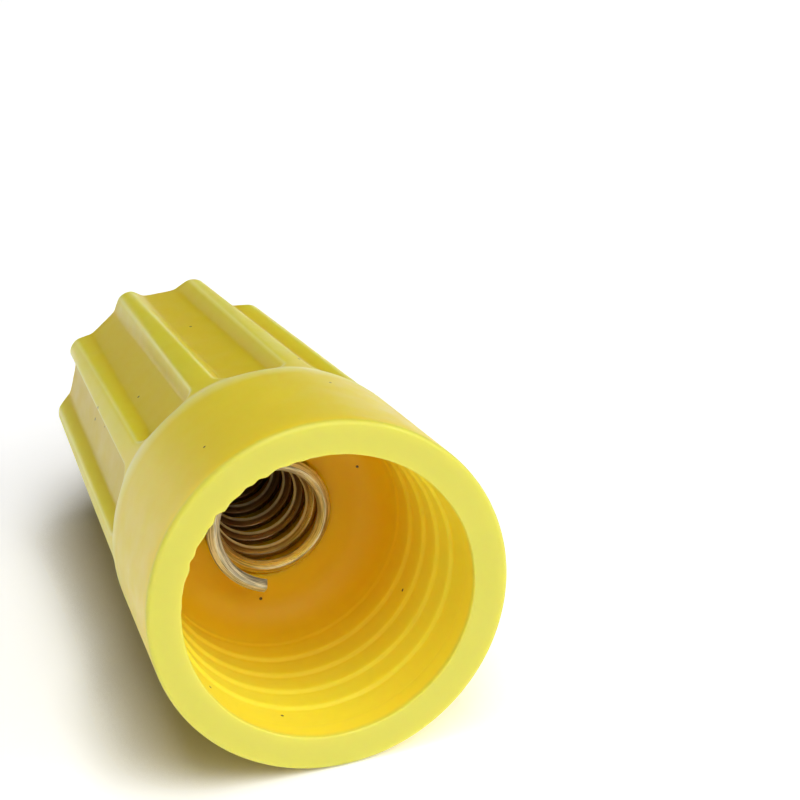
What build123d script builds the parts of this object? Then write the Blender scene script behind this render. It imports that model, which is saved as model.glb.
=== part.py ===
"""Twist-on wire connector: a fluted thermoplastic shell with a conical square-wire spring inside.

The axis of the part lies along Y. The open mouth is at y = 0 and faces -Y, and the closed end is at
y = shell_length. +Z is up. All lengths are millimetres and all angles are degrees. Angles round the
axis are counted anticlockwise from +X, as seen from the mouth.
"""
from build123d import *
from math import atan, cos, degrees, radians, sin, sqrt
import os

# Shell, outside
shell_length = 22.9
mouth_radius = 6.8
closed_end_radius = 4.87
lip_radius = 0.75
rim_edge_radius = 0.16

# Flutes: grooves cut into the cone, with a narrow ridge left between each two
groove_count = 10
groove_start = 8.2
groove_depth = 0.66
groove_width_at_skirt = 1.95
groove_width_at_end = 1.5
groove_overrun = 2.0
groove_cutter_height = 1.6
groove_flare = 38
groove_corner_radius = 0.6
groove_floor_radius = 0.35

# Turned disc and gate mark on the closed end
disc_radius = 3.5
disc_depth = 0.12
gate_radius = 0.75
gate_height = 0.07

# Mouth and chamber
mouth_bore_radius = 5.5
mouth_land_end = 1.05
chamber_depth = 8.4
chamber_taper = 0.122
bowl_radius = 1.35
ring_count = 5
ring_pitch = 1.17
ring_first = 2.14
ring_step = 0.1
ring_step_width = 0.2

# Spring: square wire wound with one corner towards the axis
wire_side = 0.41
coil_pitch = 1.1
coil_taper = 0.128
coil_start = 7.25
coil_end = 19.8
coil_start_radius = 2.3
coil_start_angle = 256

# Tapered blind bore that holds the spring
bore_clearance = 0.06
bore_end = 20.2

outer_taper = (mouth_radius - closed_end_radius) / shell_length
outer_angle = degrees(atan(outer_taper))
half_diagonal = wire_side / sqrt(2)


def outer_radius_at(y):
    """Radius of the ridge cone at a distance y from the mouth."""
    return mouth_radius - outer_taper * y


def bore_radius_at(y):
    """Radius of the tapered bore, which follows the outside of the coil."""
    coil_radius = coil_start_radius - coil_taper * (y - coil_start)
    return coil_radius + half_diagonal + bore_clearance


def chamber_radius_at(y):
    """Radius of the tapered chamber wall that the ring steps lie on."""
    return mouth_bore_radius - chamber_taper * (y - mouth_land_end)


# Groove cutter: a rounded U shape on the sloping floor of a groove, flaring outwards to the ridges
groove_angle = 360 / groove_count / 2
radial = Vector(cos(radians(groove_angle)), 0, sin(radians(groove_angle)))
sideways = Vector(-sin(radians(groove_angle)), 0, cos(radians(groove_angle)))
outwards = radial * cos(radians(outer_angle)) + Vector(0, sin(radians(outer_angle)), 0)
floor_start = radial * (outer_radius_at(groove_start) - groove_depth) + Vector(0, groove_start, 0)
groove_floor = Plane(origin=floor_start, x_dir=sideways, z_dir=outwards)
groove_length = shell_length + groove_overrun - groove_start

with BuildPart() as groove:
    with BuildSketch(groove_floor) as groove_outline:
        with BuildLine():
            Polyline(
                (-groove_width_at_skirt / 2, 0),
                (groove_width_at_skirt / 2, 0),
                (groove_width_at_end / 2, -groove_length),
                (-groove_width_at_end / 2, -groove_length),
                close=True,
            )
        make_face()
        fillet(groove_outline.vertices().group_by(Axis.Y)[-1], groove_corner_radius)
    extrude(amount=groove_cutter_height, taper=-groove_flare)
    groove_bottom = groove.faces().sort_by(Axis(floor_start, outwards))[0]
    fillet(groove_bottom.edges(), groove_floor_radius)

# Ring steps down the chamber wall, from the deepest: each narrows the chamber over a short slope
ring_corners = []
for ring in reversed(range(ring_count)):
    step_start = ring_first + ring * ring_pitch
    step_end = step_start + ring_step_width
    ring_corners.append((chamber_radius_at(step_end) - ring_step / 2, step_end))
    ring_corners.append((chamber_radius_at(step_start) + ring_step / 2, step_start))

# Shell: turned outline with the chamber, the rings and the spring bore, then the grooves
with BuildPart() as shell:
    with BuildSketch(Plane.XY) as outline:
        with BuildLine():
            Polyline(
                (mouth_bore_radius, 0),
                (mouth_radius, 0),
                (closed_end_radius, shell_length),
                (disc_radius, shell_length),
                (disc_radius, shell_length - disc_depth),
                (gate_radius, shell_length - disc_depth),
                (gate_radius / 2, shell_length - disc_depth + gate_height),
                (0, shell_length - disc_depth + gate_height),
                (0, bore_end),
                (bore_radius_at(bore_end), bore_end),
                (bore_radius_at(chamber_depth), chamber_depth),
                (chamber_radius_at(chamber_depth), chamber_depth),
                *ring_corners,
                (mouth_bore_radius, mouth_land_end),
                close=True,
            )
        make_face()
        mouth_corners = outline.vertices().group_by(Axis.Y)[0]
        fillet(mouth_corners, rim_edge_radius)
        lip_corner = outline.vertices().group_by(Axis.Y)[-1].sort_by(Axis.X)[-1]
        fillet(lip_corner, lip_radius)
        chamber_bottom = outline.vertices().filter_by_position(Axis.Y, chamber_depth, chamber_depth)
        bowl_corner = chamber_bottom.sort_by(Axis.X)[-1]
        fillet(bowl_corner, bowl_radius)
    revolve(axis=Axis.Y)
    for number in range(groove_count):
        add(groove.part.rotate(Axis.Y, number * 360 / groove_count), mode=Mode.SUBTRACT)

# Spring: conical right-hand coil, its tail standing out of the bore at the bottom of the chamber
quarter_turn = 90
with BuildPart() as spring:
    with BuildLine() as coil_line:
        coil = Helix(
            pitch=coil_pitch,
            height=coil_end - coil_start,
            radius=coil_start_radius,
            center=(0, coil_start, 0),
            direction=(0, 1, 0),
            cone_angle=-degrees(atan(coil_taper)),
            mode=Mode.PRIVATE,
        )
        add(coil.rotate(Axis.Y, quarter_turn - coil_start_angle))
    wire_start = coil_line.line @ 0
    wire_plane = Plane(
        origin=wire_start,
        x_dir=Vector(wire_start.X, 0, wire_start.Z),
        z_dir=coil_line.line % 0,
    )
    with BuildSketch(wire_plane):
        Rectangle(wire_side, wire_side, rotation=45)
    sweep(path=coil_line.line, is_frenet=True)

wire_length = sum(edge.length for edge in coil_line.edges())
print("wire length", round(wire_length, 2))
print("wire volume", round(spring.part.volume, 3), "should be near", round(wire_length * wire_side**2, 3))

shell.part.label = "shell"
spring.part.label = "spring"
os.makedirs("parts", exist_ok=True)
export_step(shell.part, "parts/shell.step")
export_step(spring.part, "parts/spring.step")
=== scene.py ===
"""The looks of a twist-on wire connector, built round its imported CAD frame.

The part's axis is Y: the mouth is at y = 0 and faces -Y, the closed end is at the frame's highest y.
The sizes below are millimetres, as on a drawing, and become metres where a mesh is made. Angles round
the axis start at +X and turn towards +Z.
"""
import math

import bpy
import numpy as np
from mathutils import Matrix, Vector


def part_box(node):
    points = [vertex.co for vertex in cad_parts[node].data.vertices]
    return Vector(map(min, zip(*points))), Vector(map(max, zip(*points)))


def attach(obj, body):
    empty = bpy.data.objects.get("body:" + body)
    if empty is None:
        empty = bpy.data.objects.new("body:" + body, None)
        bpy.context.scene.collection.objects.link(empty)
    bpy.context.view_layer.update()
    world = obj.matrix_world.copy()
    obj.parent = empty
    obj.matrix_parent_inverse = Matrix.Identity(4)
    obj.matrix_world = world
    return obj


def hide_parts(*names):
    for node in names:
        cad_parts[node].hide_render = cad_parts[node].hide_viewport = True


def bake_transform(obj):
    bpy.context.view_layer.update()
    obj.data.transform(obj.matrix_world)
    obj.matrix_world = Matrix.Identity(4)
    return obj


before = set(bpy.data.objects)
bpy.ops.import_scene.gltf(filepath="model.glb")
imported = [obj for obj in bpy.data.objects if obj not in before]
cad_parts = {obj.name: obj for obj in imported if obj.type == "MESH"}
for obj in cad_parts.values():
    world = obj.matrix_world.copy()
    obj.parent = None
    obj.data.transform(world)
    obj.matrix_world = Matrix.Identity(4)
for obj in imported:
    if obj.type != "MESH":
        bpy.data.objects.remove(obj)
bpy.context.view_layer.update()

MM = 0.001

# Shell, outside. The two edges are the radii of the rim's corners.
SHELL_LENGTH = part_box("shell")[1].y / MM
MOUTH_RADIUS = 6.8
END_RADIUS = 4.87
LIP_RADIUS = 0.75
RIM_OUTER_EDGE = 0.17
RIM_INNER_EDGE = 0.07

# Wear of the rim's inner edge: a low wave all round, and nibbles within a reach of one side, in degrees
WAVE_HEIGHT = 0.008
WAVE_LOBES = (3, 7, 12)
WAVE_SEED = 5
NIBBLE_HEIGHT = 0.03
NIBBLE_LOBES = (23, 37, 52, 71)
NIBBLE_SEED = 8
NIBBLE_MIDDLE = 130
NIBBLE_REACH = 60
WEAR_DEPTH = 1.2

# Flutes: a flank or a run-out is the level length of the slope beside or at the start of a groove
GROOVE_COUNT = 10
GROOVE_START = 8.2
GROOVE_DEPTH = 0.66
GROOVE_WIDTH_SKIRT = 1.95
GROOVE_WIDTH_END = 1.5
GROOVE_CORNER = 0.6
GROOVE_FLANK = 0.52
GROOVE_RUN_OUT = 0.68
GROOVE_LIP_RADIUS = 0.2
FOOT_SOFTNESS = 0.07
CREST_SOFTNESS = 0.09
END_SOFTENING = 1.1

# The skirt's raised edge, where the ridges run into it
SHOULDER_START = 7.8
SHOULDER_WIDTH = 0.6
SHOULDER_HEIGHT = 0.07

# Closed end: a turned disc with faint tool ripples, and a torn gate mark at its middle
DISC_RADIUS = 3.5
DISC_DEPTH = 0.12
DISC_EDGE_WIDTH = 0.14
DISC_FIRST_ROW = 0.08
RIPPLE_HEIGHT = 0.008
RIPPLE_SPACING = 0.32
RIPPLE_START = 0.9
RIPPLE_FADE = 0.5
RIPPLE_DIRECTION = 2.2
RIPPLE_TWIST = 0.4
GATE_RADIUS = 0.75
GATE_HEIGHT = 0.07
GATE_EDGE_WIDTH = 0.35
TORN_HEIGHT = 0.03
TORN_START = 0.1
TORN_RADIUS = 0.8
TORN_FADE = 0.4
TORN_TWIST = 5
TORN_LOBES = (1, 2, 3, 5)
TORN_SEED = 11

# Mouth, chamber and bore
BORE_RADIUS = 5.5
LAND_END = 1.05
CHAMBER_DEPTH = 8.4
CHAMBER_TAPER = 0.122
BOWL_RADIUS = 1.35
RING_COUNT = 5
RING_PITCH = 1.17
RING_FIRST = 0.97
RING_STEP = 0.1
RING_STEP_WIDTH = 0.2
BORE_EDGE = 0.1
BORE_END = 20.2
BORE_CLEARANCE = 0.06

# Spring
WIRE_SIDE = 0.41
WIRE_CORNER = 0.06
COIL_PITCH = 1.1
COIL_TAPER = 0.128
COIL_START = 7.25
COIL_END = 19.8
COIL_START_RADIUS = 2.3
COIL_START_ANGLE = 256
TAIL_FLARE = 0.2
TAIL_FLARE_TURNS = 0.5
LINE_STRETCH = 0.6
LINE_DENSITY = 12

# Mesh: columns from a groove's middle to the next ridge's, gathered at the foot and the crest of a flank
HALF_GROOVE_COLUMNS = (5, 5, 7, 4)
BEFORE_FOOT = 0.15
PAST_FOOT = 0.1
PAST_CREST = 0.1
FINE_ROWS_START = GROOVE_START - 1.2
FINE_ROWS_END = GROOVE_START + 1.1
STATIONS_PER_TURN = 72

# Plastic colours, linear: rim, skirt, ridges, painted shade in the flutes, painted highlights on the
# flutes' edges, chamber with a painted glow of light through the wall, and painted shade at its bottom
RIM_YELLOW = (0.665, 0.63, 0.09, 1)
SKIRT_YELLOW = (0.88, 0.72, 0.04, 1)
RIDGE_YELLOW = (0.79, 0.71, 0.045, 1)
FLUTE_SHADE_YELLOW = (0.78, 0.6, 0.018, 1)
HIGHLIGHT_YELLOW = (0.93, 0.87, 0.3, 1)
CHAMBER_GLOW_YELLOW = (0.9, 0.77, 0.045, 1)
DEEP_SHADE_AMBER = (0.87, 0.53, 0.004, 1)
SPECK_BROWN = (0.09, 0.055, 0.012, 1)

# Where those colours change along the axis: from the first y to the second
RIM_TO_SKIRT = (0.1, 0.35)
SKIRT_TO_RIDGES = (GROOVE_START - 1, GROOVE_START + 4)
FLUTES_BEGIN = (GROOVE_START - 2.2, GROOVE_START - 0.7)
# Painted highlight: a pale band round the skirt's raised edge, between these y
SHOULDER_HIGHLIGHT_BEGINS = (SHOULDER_START, SHOULDER_START - 0.3)
SHOULDER_HIGHLIGHT_ENDS = (SHOULDER_START - 1.3, SHOULDER_START - 0.5)
INSIDE_BEGINS = (0.02, 0.7)
INSIDE_ENDS = (SHELL_LENGTH - 1.5, SHELL_LENGTH - 2.2)
# Painted shade: the chamber's painted glow darkens to deep orange between these depths
CHAMBER_GLOW_TO_SHADE = (3, CHAMBER_DEPTH - 0.5)

# Where they change with the depth below the ridge cone
RIDGE_TO_FLUTE_SHADE = (0.1, GROOVE_DEPTH)
# Painted highlight: a pale line on the crest edges, between these depths below the ridge cone
CREST_HIGHLIGHT_BEGINS = (0.015, 0.05)
CREST_HIGHLIGHT_ENDS = (0.06, 0.16)
THROUGH_THE_WALL = (1.0, 1.25)
CREST_HIGHLIGHT_STRENGTH = 0.7
SHOULDER_HIGHLIGHT_STRENGTH = 0.85

# The plastic's shift of colour by flow, its dark specks and its gloss
FLOW_REACH = 2
SPECK_CELLS = 700
SPECK_SHARE = 0.5
SPECK_SIZE = 0.045
INSIDE_ROUGHNESS = 0.2

# Steel colours, linear, each as two: between the drawing lines and in them. They are painted light: a
# white highlight on the tail, a golden reflection of the plastic on the first turn, shade deeper in the
# bore, and a golden highlight on the inward corner
TAIL_HIGHLIGHT_SILVER = ((1, 1, 1, 1), (0.22, 0.24, 0.27, 1))
TURN_REFLECTION_GOLD = ((0.9, 0.78, 0.5, 1), (0.4, 0.33, 0.18, 1))
DEEP_SHADE_BROWN = ((0.28, 0.17, 0.09, 1), (0.16, 0.1, 0.05, 1))
INNER_HIGHLIGHT_GOLD = (1, 0.85, 0.55, 1)
# Along the axis, the painted highlight gives way to the painted reflection, and that to painted shade
HIGHLIGHT_TO_REFLECTION = (COIL_START + 0.3, COIL_START + 0.8)
REFLECTION_TO_SHADE = (COIL_START + 1.0, COIL_START + 2.2)
# Painted highlight on the wire's inward corner: where it begins and is full, and how much less metallic it
# makes the wire
HIGHLIGHT_EDGE_START = 0.6
HIGHLIGHT_EDGE_FULL = 0.75
HIGHLIGHT_DULLING = 0.7

# Floor: its shade lies close to the part, and only on the side away from the light
FLOOR_WHITE = (0.9, 0.9, 0.9, 1)
FLOOR_SHADE = (0.55, 0.5, 0.42, 1)
FLOOR_GLOW = 0.36
FLOOR_HALF_SIZE = 900
FLOOR_GAP = 0.01
SHADE_REACH = 5
LEE_SIDE = (-4, 16)

# Soft square lights: name, azimuth and elevation in degrees, side in metres, and watts
LIGHT_DISTANCE = 0.5
LIGHTS = (
    ("front", 8, 41, 0.34, 1.05),
    ("right", 55, 28, 0.3, 1.08),
    ("left", -50, 15, 0.3, 0.3),
    ("top", 0, 80, 0.3, 1.05),
    ("back", -145, 16, 0.25, 0.2),
)
WORLD_STRENGTH = 0.02

# Camera: its direction in degrees, and in millimetres its distance, its lens and what it aims at
CAMERA_AZIMUTH = -15.86
CAMERA_ELEVATION = 22.3
CAMERA_ROLL = -5.7
CAMERA_DISTANCE = 130
CAMERA_LENS = 162.7
AIM_RIGHT = 2.515
AIM_UP = 7.13

OUTER_TAPER = (MOUTH_RADIUS - END_RADIUS) / SHELL_LENGTH
HALF_DIAGONAL = WIRE_SIDE / math.sqrt(2)
GROOVE_PITCH = 2 * math.pi / GROOVE_COUNT


# ---------------------------------------------------------------- small helpers


def soft_ramp(x, softness):
    """Zero below 0 and x above it, with a rounded corner between."""
    return (x + np.sqrt(x * x + softness * softness)) / 2


def smooth_step(t):
    """From 0 to 1 as t goes from 0 to 1, level at both ends."""
    t = np.clip(t, 0, 1)
    return t * t * (3 - 2 * t)


def wander(angle, seed, lobes):
    """A smooth closed wave of about unit height round the axis, the same on each run."""
    random = np.random.default_rng(seed)
    total = np.zeros_like(angle)
    for lobe in lobes:
        total += random.normal() * np.cos(lobe * angle + random.uniform(0, 2 * math.pi))
    return total / math.sqrt(len(lobes))


def direction(azimuth, elevation):
    """From the part towards this direction, in degrees: azimuth 0 looks at the mouth, 90 is on +X."""
    azimuth, elevation = math.radians(azimuth), math.radians(elevation)
    level = math.cos(elevation)
    return Vector((math.sin(azimuth) * level, -math.cos(azimuth) * level, math.sin(elevation)))


def mesh_object(name, points, faces):
    """A smooth mesh piece from points in millimetres."""
    mesh = bpy.data.meshes.new(name)
    mesh.from_pydata((np.asarray(points) * MM).tolist(), [], faces)
    mesh.shade_smooth()
    mesh.update()
    piece = bpy.data.objects.new(name, mesh)
    bpy.context.scene.collection.objects.link(piece)
    return piece


# ---------------------------------------------------------------- shell mesh


def cone_radius(y):
    """Radius of the plain cone that the skirt and the ridges lie on."""
    return MOUTH_RADIUS - OUTER_TAPER * y


def groove_share(y):
    """How far along the grooves a y lies: 0 at their start and 1 at the closed end."""
    return (np.maximum(y, GROOVE_START) - GROOVE_START) / (SHELL_LENGTH - GROOVE_START)


def half_floor_width(y):
    """Half the width of a groove's floor, at a y inside the groove."""
    return (GROOVE_WIDTH_SKIRT + (GROOVE_WIDTH_END - GROOVE_WIDTH_SKIRT) * groove_share(y)) / 2


def column_angles(y):
    """The angle of each column of points at this y: the columns follow the feet and the crests."""
    y = max(y, GROOVE_START)
    radius = cone_radius(y) - GROOVE_DEPTH / 2
    foot = half_floor_width(y)
    crest = foot + GROOVE_FLANK
    stops = [0, foot - BEFORE_FOOT, foot + PAST_FOOT, crest + PAST_CREST, GROOVE_PITCH / 2 * radius]
    across = [np.zeros(1)]
    for start, end, count in zip(stops, stops[1:], HALF_GROOVE_COLUMNS):
        across.append(start + (end - start) * np.arange(1, count + 1) / count)
    right = np.concatenate(across) / radius
    one_groove = np.concatenate([-right[1:][::-1], right[:-1]])
    middles = (np.arange(GROOVE_COUNT) + 0.5) * GROOVE_PITCH
    return (middles[:, None] + one_groove[None, :]).ravel()


def groove_depth(angle, y):
    """How deep the surface lies under the ridge cone, at these angles and this y."""
    off_centre = (angle / GROOVE_PITCH - np.floor(angle / GROOVE_PITCH) - 0.5) * GROOVE_PITCH
    sideways = np.abs(off_centre) * (cone_radius(y) - GROOVE_DEPTH / 2)
    sideways = sideways - (half_floor_width(y) - GROOVE_CORNER)
    endways = GROOVE_START + GROOVE_CORNER - y
    past_corner = np.hypot(np.maximum(sideways, 0), np.maximum(endways, 0))
    distance = past_corner - GROOVE_CORNER + np.minimum(np.maximum(sideways, endways), 0)
    turned = np.maximum(endways, 0) / np.maximum(past_corner, 0.001)
    length = GROOVE_FLANK + (GROOVE_RUN_OUT - GROOVE_FLANK) * turned
    softening = 1 + END_SOFTENING * groove_share(y) ** 2
    rise = soft_ramp(distance * GROOVE_DEPTH / length, FOOT_SOFTNESS * softening)
    sagitta = (cone_radius(y) - GROOVE_DEPTH) * (1 / np.cos(off_centre) - 1)
    depth = soft_ramp(GROOVE_DEPTH - sagitta - rise, CREST_SOFTNESS * softening)
    return np.minimum(depth, GROOVE_DEPTH)


def shoulder_height(y):
    """The skirt's edge stands a little above the ridges, and falls back to the cone at the rim."""
    return SHOULDER_HEIGHT * smooth_step((SHOULDER_START - y) / SHOULDER_WIDTH) * y / SHOULDER_START


def outer_radius(angle, y):
    return cone_radius(y) + shoulder_height(y) - groove_depth(angle, y)


def chamber_wall(y):
    """Radius of the land and the tapered chamber wall, without the rings."""
    return BORE_RADIUS - CHAMBER_TAPER * np.maximum(y - LAND_END, 0)


def chamber_radius(y):
    """The chamber wall with its rings: nearly straight bands with a small step from each to the next."""
    place = (y - RING_FIRST) / RING_PITCH
    ring = math.floor(place)
    along = (place - ring) * RING_PITCH
    stepped = smooth_step(along / RING_STEP_WIDTH)
    if ring < 0 or ring > RING_COUNT:
        return chamber_wall(y)
    if ring == 0:
        return chamber_wall(y) + RING_STEP / 2 * along / RING_PITCH
    if ring == RING_COUNT:
        return chamber_wall(y) + RING_STEP / 2 * (1 - stepped)
    band = max(along - RING_STEP_WIDTH, 0) / (RING_PITCH - RING_STEP_WIDTH)
    return chamber_wall(y) + RING_STEP * (0.5 - stepped + band)


def spring_bore_radius(y):
    """Radius of the tapered bore, which follows the outside of the coil."""
    return COIL_START_RADIUS - COIL_TAPER * (y - COIL_START) + HALF_DIAGONAL + BORE_CLEARANCE


def disc_rows(angle):
    """The turned disc and the torn gate mark on the closed end, from the middle outwards."""
    rows = []
    for radius in np.linspace(DISC_FIRST_ROW, DISC_RADIUS, 48):
        wave = np.sin(radius * 2 * math.pi / RIPPLE_SPACING)
        one_side = 0.5 + 0.5 * np.cos(angle - RIPPLE_DIRECTION + RIPPLE_TWIST * radius)
        ripple = RIPPLE_HEIGHT * wave * smooth_step((radius - RIPPLE_START) / RIPPLE_FADE) * one_side
        gate = GATE_HEIGHT * smooth_step((GATE_RADIUS - radius) / GATE_EDGE_WIDTH)
        torn = TORN_HEIGHT * wander(angle + radius * TORN_TWIST, TORN_SEED, TORN_LOBES)
        torn = torn * smooth_step((TORN_RADIUS - radius) / TORN_FADE) * (radius > TORN_START)
        step = DISC_DEPTH * smooth_step((DISC_RADIUS - radius) / DISC_EDGE_WIDTH)
        rows.append((angle, radius, SHELL_LENGTH - step + gate + torn + ripple))
    return rows


def outside_rows():
    """The rounded closed end, the flutes and the skirt, down to the start of the rim."""
    rows = []
    lip_y = SHELL_LENGTH - LIP_RADIUS
    angle = column_angles(lip_y)
    ridge_share = 1 - groove_depth(angle, lip_y) / GROOVE_DEPTH
    lip = GROOVE_LIP_RADIUS + (LIP_RADIUS - GROOVE_LIP_RADIUS) * smooth_step(ridge_share)
    start = outer_radius(angle, lip_y) - OUTER_TAPER * (LIP_RADIUS - lip)
    for share in np.linspace(0.15, 1, 6):
        rows.append((angle, DISC_RADIUS + (start - lip - DISC_RADIUS) * share, SHELL_LENGTH))
    for turn in np.radians(np.linspace(80, 0, 9)):
        radius = start - lip + lip * math.cos(turn)
        rows.append((angle, radius, SHELL_LENGTH - lip + lip * math.sin(turn)))
    straight = np.linspace(lip_y, FINE_ROWS_END, 13)[1:]
    run_out = np.linspace(FINE_ROWS_END, FINE_ROWS_START, 36)[1:]
    skirt = np.linspace(FINE_ROWS_START, RIM_OUTER_EDGE, 12)[1:]
    for y in np.concatenate([straight, run_out, skirt]):
        angle = column_angles(y)
        rows.append((angle, outer_radius(angle, y), y))
    return rows


def rim_wear(angle):
    """How far the rim's inner edge wears outwards at these angles."""
    wear_and_highlight = smooth_step(1 - np.abs(np.degrees(angle) % 360 - NIBBLE_MIDDLE) / NIBBLE_REACH)
    wave = WAVE_HEIGHT * wander(angle, WAVE_SEED, WAVE_LOBES)
    return wave + NIBBLE_HEIGHT * wear_and_highlight * wander(angle, NIBBLE_SEED, NIBBLE_LOBES)


def chamber_row_places(bowl_y):
    """The y of each row down the chamber wall, close together on the ring steps."""
    places = [np.linspace(RIM_INNER_EDGE, RING_FIRST, 8)[1:-1]]
    for ring in range(RING_COUNT + 1):
        step_y = RING_FIRST + ring * RING_PITCH
        next_y = min(step_y + RING_PITCH, bowl_y)
        places.append(np.linspace(step_y, step_y + RING_STEP_WIDTH, 8))
        places.append(np.linspace(step_y + RING_STEP_WIDTH, next_y, 7)[1:-1])
    places.append([bowl_y])
    return np.concatenate(places)


def mouth_rows(angle):
    """The rim, the ringed chamber with its bowl, and the bore, to the bore's end."""
    rows = []
    rim_radius = cone_radius(RIM_OUTER_EDGE) - RIM_OUTER_EDGE
    for turn in np.radians(np.linspace(10, 90, 9)):
        y = RIM_OUTER_EDGE * (1 - math.sin(turn))
        rows.append((angle, rim_radius + RIM_OUTER_EDGE * math.cos(turn), y))
    wear = rim_wear(angle)
    inner_edge = BORE_RADIUS + RIM_INNER_EDGE + wear
    for share in np.linspace(0.1, 1, 8):
        rows.append((angle, rim_radius + (inner_edge - rim_radius) * share, 0))
    for turn in np.radians(np.linspace(80, 0, 7)):
        y = RIM_INNER_EDGE * (1 - math.sin(turn))
        rows.append((angle, inner_edge - RIM_INNER_EDGE * math.cos(turn), y))
    bowl_y = CHAMBER_DEPTH - BOWL_RADIUS
    for y in chamber_row_places(bowl_y):
        fade = 1 - smooth_step((y - RIM_INNER_EDGE) / WEAR_DEPTH)
        rows.append((angle, chamber_radius(y) + wear * fade, y))
    wall_slope = math.atan(CHAMBER_TAPER)
    bowl_centre = chamber_wall(bowl_y) - BOWL_RADIUS / math.cos(wall_slope)
    for turn in np.linspace(wall_slope, math.pi / 2, 14)[1:]:
        y = bowl_y + BOWL_RADIUS * math.sin(turn)
        rows.append((angle, bowl_centre + BOWL_RADIUS * math.cos(turn), y))
    bore_start = spring_bore_radius(CHAMBER_DEPTH)
    for radius in np.linspace(bowl_centre, bore_start + BORE_EDGE, 7)[1:]:
        rows.append((angle, radius, CHAMBER_DEPTH))
    for turn in np.radians(np.linspace(70, 0, 4)):
        y = CHAMBER_DEPTH + BORE_EDGE * (1 - math.sin(turn))
        rows.append((angle, bore_start + BORE_EDGE * (1 - math.cos(turn)), y))
    for y in np.linspace(CHAMBER_DEPTH + BORE_EDGE, BORE_END, 24)[1:]:
        rows.append((angle, spring_bore_radius(y), y))
    for share in (0.6, 0.25):
        rows.append((angle, spring_bore_radius(BORE_END) * share, BORE_END))
    return rows


def make_shell():
    """One closed skin: closed end, outside, rim, chamber and bore, as rings of points joined by quads."""
    rows = disc_rows(column_angles(SHELL_LENGTH)) + outside_rows() + mouth_rows(column_angles(0))
    columns = len(rows[0][0])
    points = [(0, SHELL_LENGTH - DISC_DEPTH + GATE_HEIGHT, 0)]
    for angle, radius, y in rows:
        ring = np.stack([radius * np.cos(angle), np.ones(columns) * y, radius * np.sin(angle)], 1)
        points.extend(ring.tolist())
    points.append((0, BORE_END, 0))
    faces = []
    for column in range(columns):
        after = (column + 1) % columns
        faces.append((0, 1 + after, 1 + column))
        for row in range(len(rows) - 1):
            here = 1 + row * columns
            faces.append((here + column, here + after, here + columns + after, here + columns + column))
        last = 1 + (len(rows) - 1) * columns
        faces.append((last + column, last + after, len(points) - 1))
    return mesh_object("moulded_shell", points, faces)


# ---------------------------------------------------------------- spring mesh


def wire_outline():
    """Points round the wire's section: a square with rounded corners, one corner towards the axis."""
    outline = []
    inner = WIRE_SIDE / 2 - WIRE_CORNER
    for corner in range(4):
        base = math.pi / 2 * corner
        for turn in np.radians([2, 30, 60, 88]):
            x = inner * (1 if corner in (0, 3) else -1) + WIRE_CORNER * math.cos(base + turn)
            z = inner * (1 if corner in (0, 1) else -1) + WIRE_CORNER * math.sin(base + turn)
            outline.append(((x - z) / math.sqrt(2), (x + z) / math.sqrt(2)))
    return outline


def make_spring():
    """The conical coil, swept along its own line. Each point keeps its place on the wire for the lines."""
    turns = (COIL_END - COIL_START) / COIL_PITCH
    stations = int(turns * STATIONS_PER_TURN)
    travelled = np.linspace(0, turns, stations)
    y = COIL_START + COIL_PITCH * travelled
    flare = TAIL_FLARE * np.clip(1 - travelled / TAIL_FLARE_TURNS, 0, 1) ** 2
    radius = COIL_START_RADIUS - COIL_TAPER * (y - COIL_START) + flare
    angle = math.radians(COIL_START_ANGLE) - 2 * math.pi * travelled
    line = np.stack([radius * np.cos(angle), y, radius * np.sin(angle)], 1)
    tangent = np.gradient(line, axis=0)
    tangent /= np.linalg.norm(tangent, axis=1)[:, None]
    radial = np.stack([np.cos(angle), np.zeros_like(angle), np.sin(angle)], 1)
    radial -= (radial * tangent).sum(1)[:, None] * tangent
    radial /= np.linalg.norm(radial, axis=1)[:, None]
    side = np.cross(tangent, radial)
    steps = np.linalg.norm(np.diff(line, axis=0), axis=1)
    along = np.concatenate([[0], np.cumsum(steps)])
    outline = wire_outline()
    count = len(outline)
    points = []
    wire_place = []
    for place, out, across, length in zip(line, radial, side, along):
        for u, v in outline:
            points.append(place + out * u + across * v)
            wire_place.append((length * LINE_STRETCH, u * LINE_DENSITY, v * LINE_DENSITY))
    faces = []
    for station in range(stations - 1):
        for corner in range(count):
            after = (corner + 1) % count
            here = station * count
            faces.append((here + corner, here + after, here + count + after, here + count + corner))
    faces.append(tuple(reversed(range(count))))
    faces.append(tuple(range((stations - 1) * count, stations * count)))
    spring = mesh_object("square_wire_spring", points, faces)
    attribute = spring.data.attributes.new("wire_place", "FLOAT_VECTOR", "POINT")
    attribute.data.foreach_set("vector", np.array(wire_place, dtype=np.float32).ravel())
    return spring


# ---------------------------------------------------------------- materials


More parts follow.
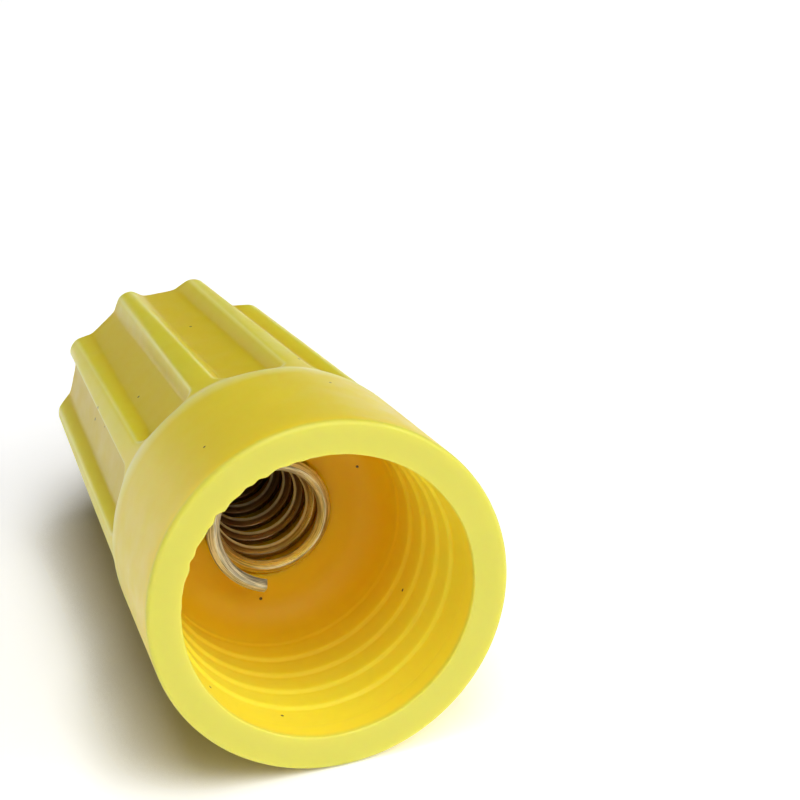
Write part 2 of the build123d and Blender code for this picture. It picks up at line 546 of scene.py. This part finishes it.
class Nodes:
    """Short names for making and linking a material's nodes."""

    def __init__(self, name):
        self.material = bpy.data.materials.new(name)
        self.material.use_nodes = True
        self.tree = self.material.node_tree
        self.shader = self.tree.nodes["Principled BSDF"]

    def add(self, kind, **values):
        node = self.tree.nodes.new(kind)
        for key, value in values.items():
            setattr(node, key, value)
        return node

    def link(self, output, target):
        self.tree.links.new(output, target)

    def axes(self, vector):
        """The X, Y and Z outputs of a vector."""
        node = self.add("ShaderNodeSeparateXYZ")
        self.link(vector, node.inputs["Vector"])
        return [node.outputs[name] for name in "XYZ"]

    def noise(self, coordinate, scale, detail, roughness):
        node = self.add("ShaderNodeTexNoise")
        node.inputs["Scale"].default_value = scale
        node.inputs["Detail"].default_value = detail
        node.inputs["Roughness"].default_value = roughness
        self.link(coordinate, node.inputs["Vector"])
        return node.outputs["Fac"]

    def ramp(self, value, low, high, to_low=0.0, to_high=1.0):
        node = self.add("ShaderNodeMapRange")
        node.inputs["From Min"].default_value = low
        node.inputs["From Max"].default_value = high
        node.inputs["To Min"].default_value = to_low
        node.inputs["To Max"].default_value = to_high
        self.link(value, node.inputs["Value"])
        return node.outputs["Result"]

    def ramp_mm(self, value, limits):
        """From 0 to 1 as a length goes from the first limit to the second, both in millimetres."""
        return self.ramp(value, limits[0] * MM, limits[1] * MM)

    def mix(self, factor, first, second):
        """A colour mix: the Mix node's colour sockets share their names with its number sockets."""
        node = self.add("ShaderNodeMix", data_type="RGBA")
        self.link(factor, node.inputs[0])
        first_socket, second_socket = [s for s in node.inputs if s.type == "RGBA"]
        for socket, value in ((first_socket, first), (second_socket, second)):
            if isinstance(value, tuple):
                socket.default_value = value
            else:
                self.link(value, socket)
        return [s for s in node.outputs if s.type == "RGBA"][0]

    def math(self, operation, first, second):
        node = self.add("ShaderNodeMath", operation=operation)
        for socket, value in zip(node.inputs, (first, second)):
            if isinstance(value, (int, float)):
                socket.default_value = value
            else:
                self.link(value, socket)
        return node.outputs["Value"]

    def bump(self, height, strength, distance):
        node = self.add("ShaderNodeBump")
        node.inputs["Strength"].default_value = strength
        node.inputs["Distance"].default_value = distance
        self.link(height, node.inputs["Height"])
        self.link(node.outputs["Normal"], self.shader.inputs["Normal"])


def specks(nodes, place):
    """A mask that is 1 on small round specks: the middles of some of the texture's cells."""
    cells = nodes.add("ShaderNodeTexVoronoi")
    cells.inputs["Scale"].default_value = SPECK_CELLS
    nodes.link(place, cells.inputs["Vector"])
    picked = nodes.add("ShaderNodeSeparateColor")
    nodes.link(cells.outputs["Color"], picked.inputs["Color"])
    rare = nodes.math("GREATER_THAN", picked.outputs["Red"], SPECK_SHARE)
    small = nodes.math("LESS_THAN", cells.outputs["Distance"], SPECK_SIZE)
    return nodes.math("MULTIPLY", rare, small)


def plastic_material():
    """Translucent yellow: paler outside, with painted highlights on the crest edges and the skirt's raised
    edge, painted shade that makes the flutes golden, and inside a painted glow of light that has crossed
    the wall, darkening to deep orange as painted shade.
    """
    nodes = Nodes("yellow_thermoplastic")
    place = nodes.add("ShaderNodeTexCoord").outputs["Object"]
    x, y, z = nodes.axes(place)
    squares = nodes.math("ADD", nodes.math("MULTIPLY", x, x), nodes.math("MULTIPLY", z, z))
    radius = nodes.math("SQRT", squares, 0)
    cone = nodes.math("SUBTRACT", MOUTH_RADIUS * MM, nodes.math("MULTIPLY", y, OUTER_TAPER))
    below_cone = nodes.math("SUBTRACT", cone, radius)

    flow = nodes.noise(place, scale=160, detail=3, roughness=0.55)
    shifted = nodes.math("ADD", y, nodes.math("MULTIPLY", flow, FLOW_REACH * MM))
    skin = nodes.mix(nodes.ramp_mm(shifted, SKIRT_TO_RIDGES), SKIRT_YELLOW, RIDGE_YELLOW)
    pale = nodes.mix(nodes.ramp_mm(y, RIM_TO_SKIRT), RIM_YELLOW, skin)
    fluted_part = nodes.ramp_mm(y, FLUTES_BEGIN)
    # Painted shade: the flutes turn a darker, more orange yellow the deeper they lie under the ridge cone,
    # with a painted glow of light through the thinner wall.
    flute_shade = nodes.math("MULTIPLY", nodes.ramp_mm(below_cone, RIDGE_TO_FLUTE_SHADE), fluted_part)
    fluted = nodes.mix(flute_shade, pale, FLUTE_SHADE_YELLOW)

    # Painted highlight: a pale line along the flutes' crest edges and their rounded ends.
    on_crest = nodes.math("SUBTRACT", 1, nodes.ramp_mm(below_cone, CREST_HIGHLIGHT_ENDS))
    off_ridge = nodes.math("MULTIPLY", nodes.ramp_mm(below_cone, CREST_HIGHLIGHT_BEGINS), fluted_part)
    crest_highlight = nodes.math("MULTIPLY", nodes.math("MULTIPLY", on_crest, off_ridge), CREST_HIGHLIGHT_STRENGTH)
    crest_highlighted = nodes.mix(crest_highlight, fluted, HIGHLIGHT_YELLOW)
    # Painted highlight: a pale band round the skirt's raised edge, where the ridges run into it.
    on_shoulder = nodes.ramp_mm(y, SHOULDER_HIGHLIGHT_BEGINS)
    on_shoulder = nodes.math("MULTIPLY", on_shoulder, nodes.ramp_mm(y, SHOULDER_HIGHLIGHT_ENDS))
    shoulder_highlight = nodes.math("MULTIPLY", on_shoulder, SHOULDER_HIGHLIGHT_STRENGTH)
    outside = nodes.mix(shoulder_highlight, crest_highlighted, HIGHLIGHT_YELLOW)

    inside = nodes.math("MULTIPLY", nodes.ramp_mm(y, INSIDE_BEGINS), nodes.ramp_mm(y, INSIDE_ENDS))
    inside = nodes.math("MULTIPLY", inside, nodes.ramp_mm(below_cone, THROUGH_THE_WALL))
    # Painted light inside: a glow of light through the wall near the mouth, turning deep orange with
    # painted shade towards the chamber's bottom.
    chamber_glow_and_shade = nodes.mix(nodes.ramp_mm(y, CHAMBER_GLOW_TO_SHADE), CHAMBER_GLOW_YELLOW, DEEP_SHADE_AMBER)
    base = nodes.mix(inside, outside, chamber_glow_and_shade)
    colour = nodes.mix(specks(nodes, place), base, SPECK_BROWN)
    nodes.link(colour, nodes.shader.inputs["Base Color"])

    cloud = nodes.noise(place, scale=900, detail=2, roughness=0.6)
    gloss = nodes.ramp(cloud, 0.3, 0.7, to_low=0.3, to_high=0.42)
    roughness = nodes.math("ADD", gloss, nodes.math("MULTIPLY", inside, INSIDE_ROUGHNESS))
    nodes.link(roughness, nodes.shader.inputs["Roughness"])
    grain = nodes.noise(place, scale=700, detail=3, roughness=0.5)
    nodes.bump(grain, strength=0.08, distance=0.1 * MM)
    nodes.shader.inputs["IOR"].default_value = 1.49
    nodes.shader.inputs["Specular IOR Level"].default_value = 0.42
    nodes.shader.inputs["Subsurface Weight"].default_value = 0.85
    nodes.shader.inputs["Subsurface Radius"].default_value = (1.0, 0.78, 0.25)
    nodes.shader.inputs["Subsurface Scale"].default_value = 0.9 * MM
    return nodes.material


def steel_material():
    """Plated wire with drawing lines, and painted light: a white highlight on the tail, a golden
    reflection on the first turn, then shade but for a golden highlight on its inner edge.
    """
    nodes = Nodes("plated_spring_steel")
    wire_place = nodes.add("ShaderNodeAttribute", attribute_name="wire_place").outputs["Vector"]
    lines = nodes.noise(wire_place, scale=1.0, detail=3, roughness=0.65)
    streak = nodes.ramp(lines, 0.38, 0.62)
    # Painted light: a white highlight on the tail, a golden reflection of the plastic on the first turn,
    # and shade deeper in the bore.
    tail_highlight = nodes.mix(streak, *TAIL_HIGHLIGHT_SILVER)
    turn_reflection = nodes.mix(streak, *TURN_REFLECTION_GOLD)
    deep_shade = nodes.mix(streak, *DEEP_SHADE_BROWN)
    outwards = nodes.axes(wire_place)[1]
    inner_corner = -HALF_DIAGONAL * LINE_DENSITY
    # Painted highlight: a golden line on the inward corner of the deeper turns.
    inner_edge = nodes.ramp(outwards, HIGHLIGHT_EDGE_START * inner_corner, HIGHLIGHT_EDGE_FULL * inner_corner)
    deep = nodes.mix(inner_edge, deep_shade, INNER_HIGHLIGHT_GOLD)
    y = nodes.axes(nodes.add("ShaderNodeTexCoord").outputs["Object"])[1]
    past_tail = nodes.ramp_mm(y, HIGHLIGHT_TO_REFLECTION)
    down = nodes.ramp_mm(y, REFLECTION_TO_SHADE)
    colour = nodes.mix(down, nodes.mix(past_tail, tail_highlight, turn_reflection), deep)
    nodes.link(colour, nodes.shader.inputs["Base Color"])
    # The tail is less metallic, so its painted white highlight stays bright.
    metal = nodes.ramp(past_tail, 0, 1, to_low=0.15, to_high=0.9)
    # Less metallic under the painted highlight on the inward corner.
    wear_and_highlight = nodes.math("MULTIPLY", down, nodes.math("MULTIPLY", inner_edge, HIGHLIGHT_DULLING))
    nodes.link(nodes.math("SUBTRACT", metal, wear_and_highlight), nodes.shader.inputs["Metallic"])
    roughness = nodes.ramp(lines, 0.3, 0.7, to_low=0.24, to_high=0.4)
    nodes.link(roughness, nodes.shader.inputs["Roughness"])
    nodes.bump(lines, strength=0.3, distance=0.01 * MM)
    return nodes.material


def floor_material():
    """White and glowing like a lit table, but warm and dim in the shade close to the part."""
    nodes = Nodes("pale_floor")
    x, y = nodes.axes(nodes.add("ShaderNodeTexCoord").outputs["Object"])[:2]
    lee = nodes.ramp_mm(nodes.math("SUBTRACT", y, x), LEE_SIDE)
    shade = nodes.add("ShaderNodeAmbientOcclusion")
    shade.inputs["Distance"].default_value = SHADE_REACH * MM
    covered = nodes.math("MULTIPLY", nodes.math("SUBTRACT", 1, shade.outputs["AO"]), lee)
    colour = nodes.mix(nodes.ramp(covered, 0.12, 0.5), FLOOR_WHITE, FLOOR_SHADE)
    nodes.link(colour, nodes.shader.inputs["Base Color"])
    glow = nodes.ramp(covered, 0, 0.3, to_low=FLOOR_GLOW, to_high=0)
    nodes.link(glow, nodes.shader.inputs["Emission Strength"])
    nodes.shader.inputs["Emission Color"].default_value = (1, 1, 1, 1)
    nodes.shader.inputs["Roughness"].default_value = 0.6
    return nodes.material


# ---------------------------------------------------------------- stage, light and camera


def make_floor():
    """A pale floor that the part lies on: it touches the rim and the two lowest ridges."""
    rim_low = Vector((0, RIM_OUTER_EDGE, -cone_radius(RIM_OUTER_EDGE)))
    end_y = SHELL_LENGTH - LIP_RADIUS
    end_low = Vector((0, end_y, -cone_radius(end_y) * math.cos(GROOVE_PITCH / 2)))
    across = Vector((1, 0, 0))
    along = (end_low - rim_low).normalized()
    middle = rim_low - across.cross(along) * FLOOR_GAP
    corners = []
    for x, y in ((-1, -1), (1, -1), (1, 1), (-1, 1)):
        corners.append(tuple(middle + across * x * FLOOR_HALF_SIZE + along * y * FLOOR_HALF_SIZE))
    floor = mesh_object("floor", corners, [(0, 1, 2, 3)])
    floor.data.materials.append(floor_material())


def make_light():
    """A dim white world, and soft lights that face the part."""
    world = bpy.data.worlds.new("studio")
    world.use_nodes = True
    background = world.node_tree.nodes["Background"]
    background.inputs["Color"].default_value = (1, 1, 1, 1)
    background.inputs["Strength"].default_value = WORLD_STRENGTH
    bpy.context.scene.world = world
    for name, azimuth, elevation, size, watts in LIGHTS:
        data = bpy.data.lights.new(name, "AREA")
        data.energy = watts
        data.size = size
        light = bpy.data.objects.new(name, data)
        back = direction(azimuth, elevation)
        light.location = back * LIGHT_DISTANCE
        light.rotation_mode = "QUATERNION"
        light.rotation_quaternion = (-back).to_track_quat("-Z", "Y")
        bpy.context.scene.collection.objects.link(light)
    bpy.context.scene.view_settings.view_transform = "Standard"


def make_camera():
    """A long lens, a little rolled, that sees the mouth and the left side from above."""
    azimuth, roll = math.radians(CAMERA_AZIMUTH), math.radians(CAMERA_ROLL)
    back = direction(CAMERA_AZIMUTH, CAMERA_ELEVATION)
    level = Vector((math.cos(azimuth), math.sin(azimuth), 0))
    upright = back.cross(level)
    right = level * math.cos(roll) + upright * math.sin(roll)
    up = back.cross(right)
    place = (right * AIM_RIGHT + up * AIM_UP + back * CAMERA_DISTANCE) * MM
    data = bpy.data.cameras.new("camera")
    data.lens = CAMERA_LENS
    data.clip_start = 0.01
    data.clip_end = 10
    camera = bpy.data.objects.new("camera", data)
    turned = Matrix((right, up, back)).transposed().to_4x4()
    camera.matrix_world = Matrix.Translation(place) @ turned
    bpy.context.scene.collection.objects.link(camera)
    bpy.context.scene.camera = camera


make_camera()
make_light()
make_floor()

shell = make_shell()
shell.data.materials.append(plastic_material())
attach(shell, "shell")
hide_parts("shell")

spring = make_spring()
spring.data.materials.append(steel_material())
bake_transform(spring)
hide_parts("spring")
